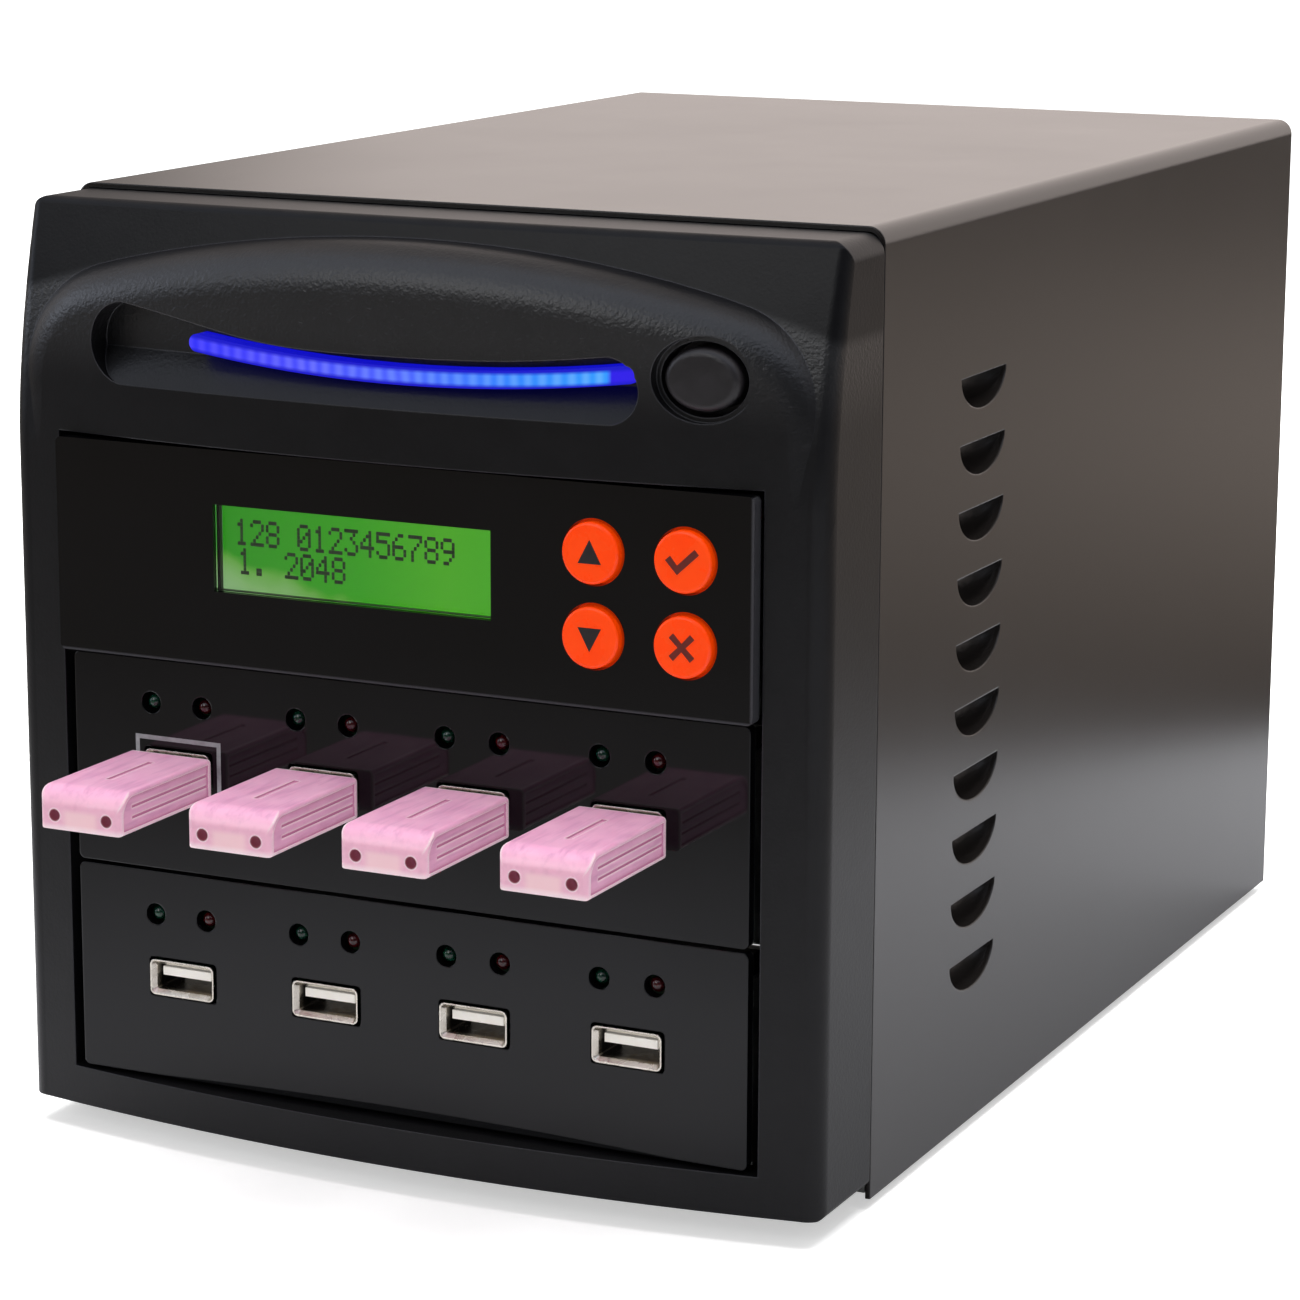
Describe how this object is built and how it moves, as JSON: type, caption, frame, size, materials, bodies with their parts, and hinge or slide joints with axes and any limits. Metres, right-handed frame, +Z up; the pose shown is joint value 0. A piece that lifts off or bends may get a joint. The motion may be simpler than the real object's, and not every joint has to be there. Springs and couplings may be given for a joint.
{
  "type": "usb flash drive duplicator",
  "caption": "Desk-top tower with a bowed front, a display with round keys, and two rows of USB ports with lamps for copying flash drives.",
  "frame": {"origin": "on the floor, under the middle of the box around the whole part with its drives plugged in", "axes": "+X to the right seen from the front, +Y to the back, +Z up"},
  "size_m": [0.1746, 0.317, 0.1886],
  "materials": {
    "bezel_plastic": "fine spark texture",
    "light_bar_plastic": "clear blue-violet, polished",
    "circuit_board": "solder mask",
    "button_plastic": "fine spark texture",
    "switch_plastic": "moulded",
    "panel_black": "polished",
    "clear_window": "polished",
    "display_metal": "satin black",
    "display_green": "backlit",
    "port_steel": "nickel plated",
    "tongue_white": "moulded",
    "contact_gold": "gold plated",
    "lamp_green": "clear tinted",
    "lamp_red": "clear tinted",
    "zinc_steel": "zinc plated",
    "sink_aluminium": "black anodised",
    "cover_paint": "satin powder coat",
    "fan_black": "moulded",
    "guard_chrome": "bright",
    "inlet_black": "moulded",
    "pin_nickel": "nickel plated",
    "rocker_black": "moulded",
    "foot_rubber": "matt",
    "screw_steel": "zinc plated",
    "lead_black": "PVC sleeve",
    "ribbon_grey": "PVC",
    "key_orange": "polished",
    "drive_pink": "polished",
    "plug_steel": "nickel plated"
  },
  "bodies": {
    "case": {"front_bezel": "bezel_plastic", "light_bar": "light_bar_plastic", "front_board": "circuit_board", "power_switch": "switch_plastic", "control_fascia": "panel_black", "display_window": "clear_window", "display_frame": "display_metal", "display_glass": "display_green", "control_board": "circuit_board", "key_switches": "switch_plastic", "port_fascia_lower": "panel_black", "port_fascia_upper": "panel_black", "port_board_lower": "circuit_board", "port_board_upper": "circuit_board", "usb_shells_lower": "port_steel", "usb_shells_upper": "port_steel", "usb_tongues": "tongue_white", "usb_contacts": "contact_gold", "green_lamps": "lamp_green", "red_lamps": "lamp_red", "port_trays": "zinc_steel", "control_tray": "zinc_steel", "controller_board": "circuit_board", "heat_sink": "sink_aluminium", "bay_cage": "zinc_steel", "chassis_base": "zinc_steel", "front_frame": "zinc_steel", "rear_panel": "zinc_steel", "cover_shell": "cover_paint", "psu_case": "zinc_steel", "psu_lid": "zinc_steel", "psu_board": "circuit_board", "psu_fan_frame": "fan_black", "case_fan_frame": "fan_black", "fan_guards": "guard_chrome", "mains_inlet": "inlet_black", "mains_pins": "pin_nickel", "rocker_housing": "inlet_black", "feet": "foot_rubber", "rear_screws": "screw_steel", "inner_screws": "screw_steel", "power_harness": "lead_black", "port_cables": "ribbon_grey"},
    "power_button": {"power_button": "button_plastic"},
    "key_up": {"key_up": "key_orange"},
    "key_down": {"key_down": "key_orange"},
    "key_enter": {"key_enter": "key_orange"},
    "key_escape": {"key_escape": "key_orange"},
    "psu_fan_wheel": {"psu_fan_rotor": "fan_black"},
    "case_fan_wheel": {"case_fan_rotor": "fan_black"},
    "mains_rocker": {"rocker": "rocker_black"},
    "drive_1": {"flash_drive_1": "drive_pink", "drive_plug_1": "plug_steel"},
    "drive_2": {"flash_drive_2": "drive_pink", "drive_plug_2": "plug_steel"},
    "drive_3": {"flash_drive_3": "drive_pink", "drive_plug_3": "plug_steel"},
    "drive_4": {"flash_drive_4": "drive_pink", "drive_plug_4": "plug_steel"}
  },
  "joints": [
    {"name": "power_press", "type": "slide", "parent": "case", "child": "power_button", "axis": [0, 1, 0], "range_m": [0, 0.0025], "stiffness_N_per_m": 800},
    {"name": "key_up_press", "type": "slide", "parent": "case", "child": "key_up", "axis": [0, 1, 0], "range_m": [0, 0.0008], "stiffness_N_per_m": 1500},
    {"name": "key_down_press", "type": "slide", "parent": "case", "child": "key_down", "axis": [0, 1, 0], "range_m": [0, 0.0008], "stiffness_N_per_m": 1500},
    {"name": "key_enter_press", "type": "slide", "parent": "case", "child": "key_enter", "axis": [0, 1, 0], "range_m": [0, 0.0008], "stiffness_N_per_m": 1500},
    {"name": "key_escape_press", "type": "slide", "parent": "case", "child": "key_escape", "axis": [0, 1, 0], "range_m": [0, 0.0008], "stiffness_N_per_m": 1500},
    {"name": "psu_fan_spin", "type": "hinge", "parent": "case", "child": "psu_fan_wheel", "pos_m": [0.0015, 0.13835, 0.1431], "axis": [0, 1, 0], "continuous": true},
    {"name": "case_fan_spin", "type": "hinge", "parent": "case", "child": "case_fan_wheel", "pos_m": [-0.038, 0.13835, 0.0502], "axis": [0, 1, 0], "continuous": true},
    {"name": "rocker_tilt", "type": "hinge", "parent": "case", "child": "mains_rocker", "pos_m": [-0.053, 0.15185, 0.1601], "axis": [1, 0, 0], "range_deg": [-16, 0]},
    {"name": "drive_1_pull", "type": "slide", "parent": "case", "child": "drive_1", "axis": [0, -1, 0], "range_m": [0, 0.03]},
    {"name": "drive_2_pull", "type": "slide", "parent": "case", "child": "drive_2", "axis": [0, -1, 0], "range_m": [0, 0.03]},
    {"name": "drive_3_pull", "type": "slide", "parent": "case", "child": "drive_3", "axis": [0, -1, 0], "range_m": [0, 0.03]},
    {"name": "drive_4_pull", "type": "slide", "parent": "case", "child": "drive_4", "axis": [0, -1, 0], "range_m": [0, 0.03]}
  ]
}
